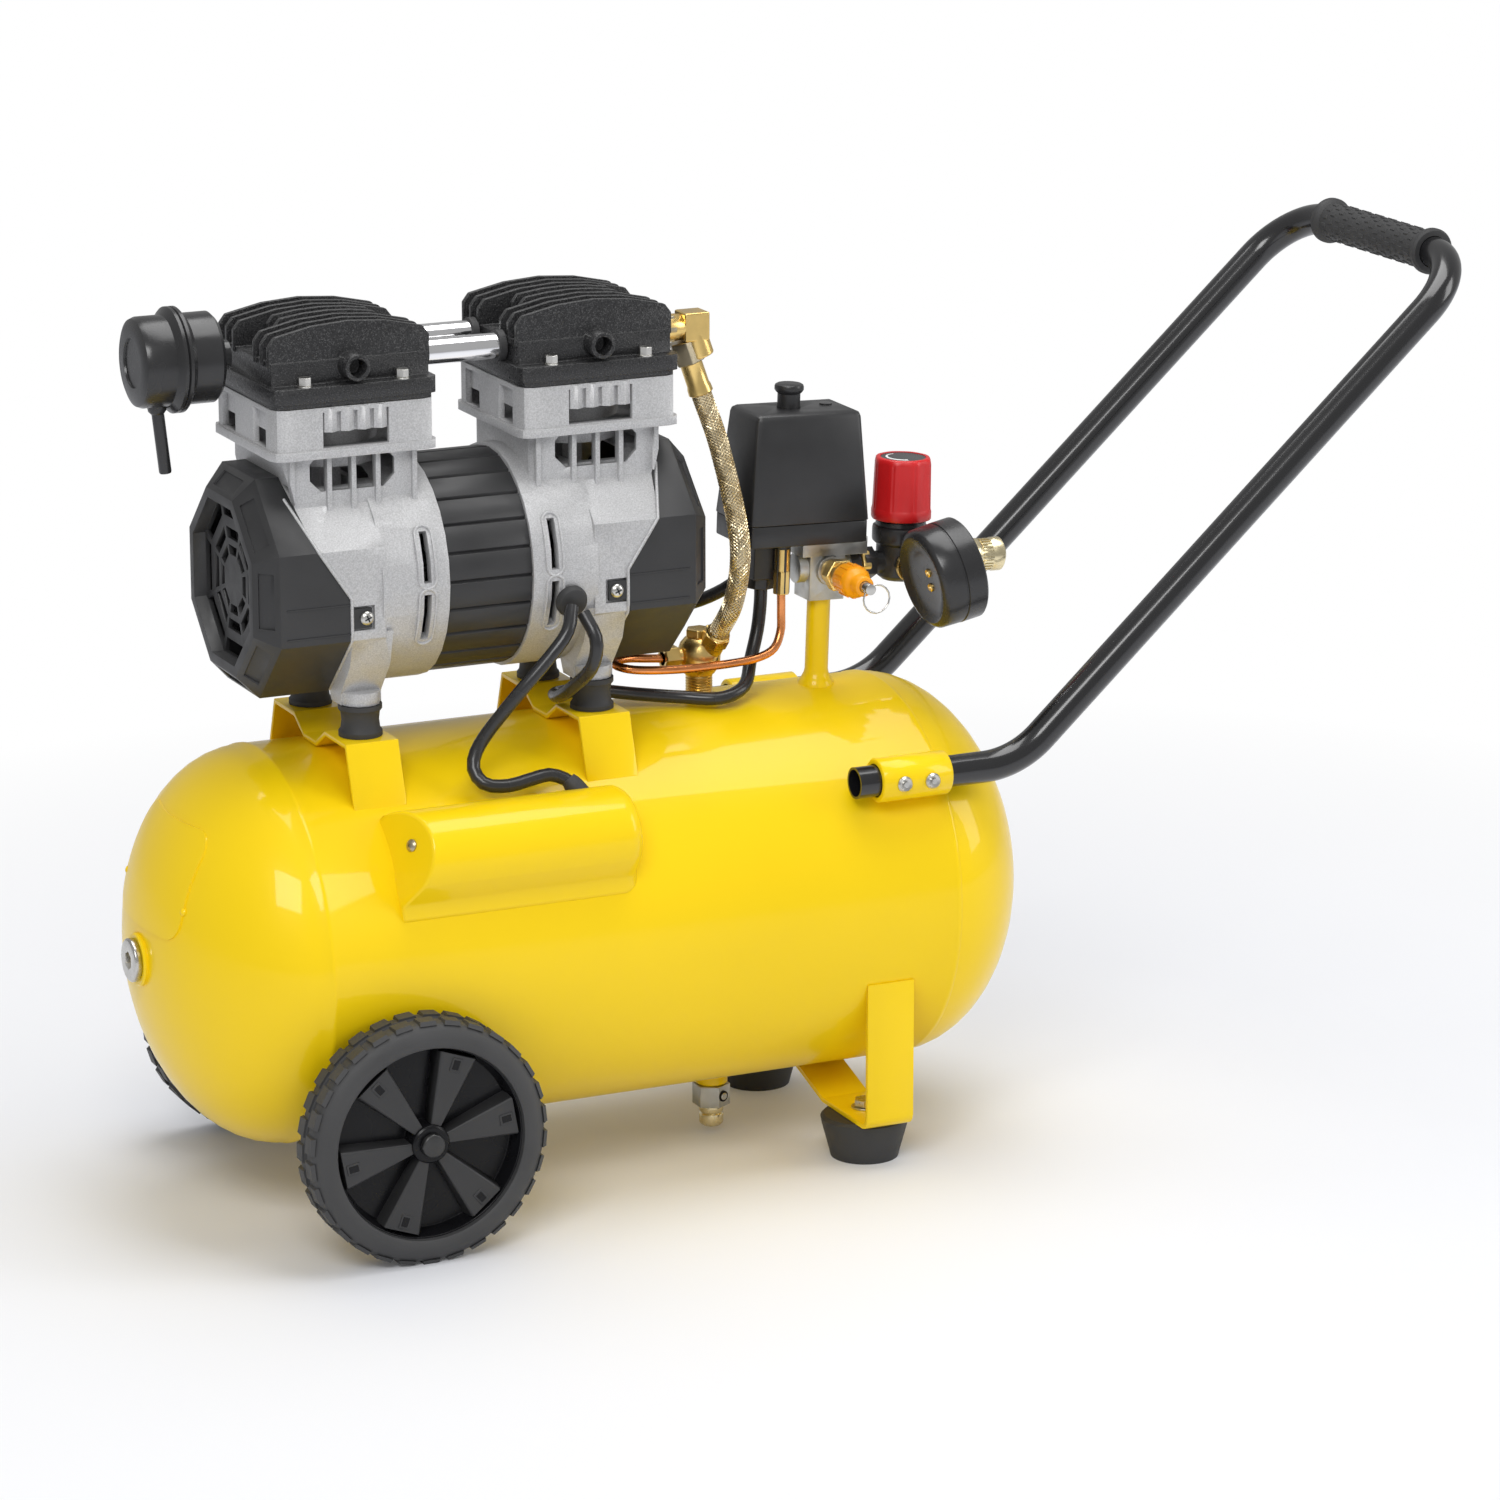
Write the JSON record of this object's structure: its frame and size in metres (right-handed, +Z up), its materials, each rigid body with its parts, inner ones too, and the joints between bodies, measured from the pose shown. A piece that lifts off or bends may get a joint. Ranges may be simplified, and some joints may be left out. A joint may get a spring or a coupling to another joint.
{
  "type": "wheelbarrow air compressor",
  "caption": "Wheeled air compressor: horizontal tank, oil-free twin-cylinder motor pump, pressure switch, regulator with gauge and coupler, and a bent tube handle.",
  "frame": {"origin": "middle of the footprint of the whole object, on the floor", "axes": "+X runs along the tank from the air filter's end to the handle, -Y is the side with the safety valve and the gauge, +Z is up"},
  "size_m": [0.8852, 0.3136, 0.5658],
  "materials": {
    "yellow_paint": "gloss",
    "black_paint": "gloss",
    "dark_plastic": "satin",
    "black_plastic": "satin",
    "rubber": "matte",
    "cast_aluminium": "satin",
    "black_casting": "satin",
    "bright_steel": "satin",
    "chrome": "gloss",
    "brass": "gloss",
    "copper": "gloss",
    "steel_braid": "satin",
    "zinc": "satin",
    "red_plastic": "gloss",
    "orange_plastic": "gloss",
    "needle_red": "satin"
  },
  "bodies": {
    "frame": {"receiver_tank": "yellow_paint", "tank_plug": "bright_steel", "drain_body": "bright_steel", "axle_bolt_front": "bright_steel", "axle_bolt_rear": "bright_steel", "foot_bracket": "yellow_paint", "rubber_foot_front": "rubber", "rubber_foot_rear": "rubber", "saddle_left": "yellow_paint", "saddle_right": "yellow_paint", "rubber_mount_front_left": "rubber", "rubber_mount_front_right": "rubber", "rubber_mount_rear_left": "rubber", "rubber_mount_rear_right": "rubber", "crankcase_left": "cast_aluminium", "crankcase_right": "cast_aluminium", "cylinder_block_left": "cast_aluminium", "cylinder_block_right": "cast_aluminium", "cylinder_head_left": "black_casting", "cylinder_head_right": "black_casting", "head_tube_front": "chrome", "head_tube_rear": "chrome", "motor_stator": "black_plastic", "fan_cover_left": "dark_plastic", "fan_cover_right": "dark_plastic", "air_filter": "black_plastic", "outlet_elbow": "brass", "delivery_hose": "steel_braid", "check_valve": "brass", "unloader_pipe": "copper", "riser_pipe": "yellow_paint", "switch_manifold": "zinc", "switch_base": "black_plastic", "switch_cover": "black_plastic", "safety_valve_body": "orange_plastic", "regulator_body": "black_plastic", "pressure_gauge": "black_plastic", "coupler_body": "brass", "handle_frame": "black_paint", "handle_grip": "rubber", "capacitor_cover": "yellow_paint", "motor_capacitor": "black_plastic", "lead_grommet": "rubber", "capacitor_lead": "black_plastic", "switch_lead": "black_plastic", "rear_lead": "black_plastic"},
    "wheel_front": {"wheel_front": "rubber"},
    "wheel_rear": {"wheel_rear": "rubber"},
    "shaft": {"motor_rotor": "bright_steel", "cooling_fan_left": "black_plastic", "cooling_fan_right": "black_plastic"},
    "piston_left": {"piston_left": "cast_aluminium"},
    "piston_right": {"piston_right": "cast_aluminium"},
    "switch_knob": {"switch_knob": "black_plastic"},
    "regulator_knob": {"regulator_knob": "red_plastic"},
    "safety_pin": {"safety_valve_pin": "bright_steel"},
    "safety_ring": {"safety_valve_ring": "bright_steel"},
    "gauge_needle": {"gauge_needle": "needle_red"},
    "drain_screw": {"drain_screw": "brass"},
    "coupler_sleeve": {"coupler_sleeve": "brass"}
  },
  "joints": [
    {"name": "wheel_front_spin", "type": "hinge", "parent": "frame", "child": "wheel_front", "pos_m": [-0.30735, -0.1378, 0.0765], "axis": [0, 1, 0], "continuous": true},
    {"name": "wheel_rear_spin", "type": "hinge", "parent": "frame", "child": "wheel_rear", "pos_m": [-0.30735, 0.1378, 0.0765], "axis": [0, 1, 0], "continuous": true},
    {"name": "shaft_spin", "type": "hinge", "parent": "frame", "child": "shaft", "pos_m": [-0.22915, 0, 0.396], "axis": [1, 0, 0], "continuous": true},
    {"name": "piston_left_stroke", "type": "slide", "parent": "frame", "child": "piston_left", "axis": [0, 0, 1], "range_m": [-0.016, 0]},
    {"name": "piston_right_stroke", "type": "slide", "parent": "frame", "child": "piston_right", "axis": [0, 0, 1], "range_m": [0, 0.016]},
    {"name": "switch_knob_push", "type": "slide", "parent": "frame", "child": "switch_knob", "axis": [0.0349, 0, 0.9994], "range_m": [-0.006, 0]},
    {"name": "regulator_knob_turn", "type": "hinge", "parent": "frame", "child": "regulator_knob", "pos_m": [0.07972, 0, 0.39088], "axis": [0.0349, 0, 0.9994], "range_deg": [-540, 540]},
    {"name": "safety_pin_pull", "type": "slide", "parent": "frame", "child": "safety_pin", "axis": [0, -1, 0], "range_m": [0, 0.003], "stiffness_N_per_m": 400, "springref_m": -0.002},
    {"name": "safety_ring_swing", "type": "hinge", "parent": "safety_pin", "child": "safety_ring", "pos_m": [0.02378, -0.0673, 0.36502], "axis": [0.788, 0, 0.6157], "range_deg": [-90, 25]},
    {"name": "gauge_needle_sweep", "type": "hinge", "parent": "frame", "child": "gauge_needle", "pos_m": [0.09282, -0.053, 0.36763], "axis": [0.9799, 0, 0.1994], "range_deg": [-270, 0], "stiffness_Nm_per_rad": 0.0008, "springref_deg": 2.86},
    {"name": "drain_screw_turn", "type": "hinge", "parent": "frame", "child": "drain_screw", "pos_m": [-0.05335, 0, 0.019], "axis": [0, 0, -1], "range_deg": [0, 540]},
    {"name": "coupler_sleeve_draw", "type": "slide", "parent": "frame", "child": "coupler_sleeve", "axis": [-0.9994, 0, 0.0349], "range_m": [0, 0.004], "stiffness_N_per_m": 800, "springref_m": -0.002}
  ],
  "couplings": [
    {"joint": "piston_right_stroke", "follows": "piston_left_stroke", "ratio": -1}
  ]
}
